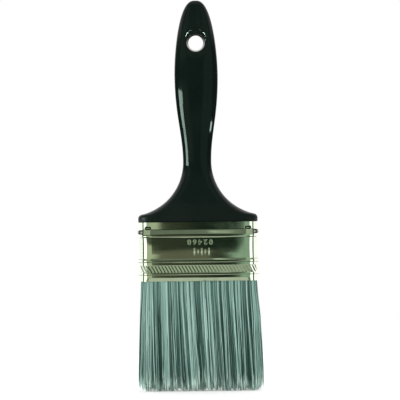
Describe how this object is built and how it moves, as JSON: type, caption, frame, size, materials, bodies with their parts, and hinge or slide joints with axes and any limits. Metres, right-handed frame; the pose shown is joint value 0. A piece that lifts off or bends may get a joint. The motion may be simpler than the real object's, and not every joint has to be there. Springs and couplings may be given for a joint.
{
  "type": "flat paint brush",
  "caption": "Flat wall paint brush with a waisted plastic handle, a hanging hole, a beaded and knurled metal ferrule and two-tone synthetic bristles.",
  "frame": {"origin": "under the middle of the trimmed bristle tips, on the surface that the brush stands on", "axes": "+Z along the brush from the bristle tips to the handle's end, -Y out of the front face, +X to the right across the brush as seen from the front"},
  "size_m": [0.0785, 0.0174, 0.2476],
  "materials": {
    "handle_plastic": "glossy black moulded plastic",
    "ferrule_metal": "bright nickel-plated sheet steel, rolled and knurled",
    "setting_resin": "cast amber resin",
    "spacer_wood": "plain sawn wood strip",
    "dark_filament": "dark synthetic filament with a soft sheen",
    "pale_filament": "pale grey-green synthetic filament with a soft sheen"
  },
  "bodies": {
    "root": {"handle": "handle_plastic", "ferrule": "ferrule_metal", "resin_setting": "setting_resin", "front_spacer": "spacer_wood", "back_spacer": "spacer_wood", "front_dark_filaments": "dark_filament", "front_pale_filaments": "pale_filament", "middle_dark_filaments": "dark_filament", "middle_pale_filaments": "pale_filament", "back_dark_filaments": "dark_filament", "back_pale_filaments": "pale_filament"}
  },
  "joints": []
}
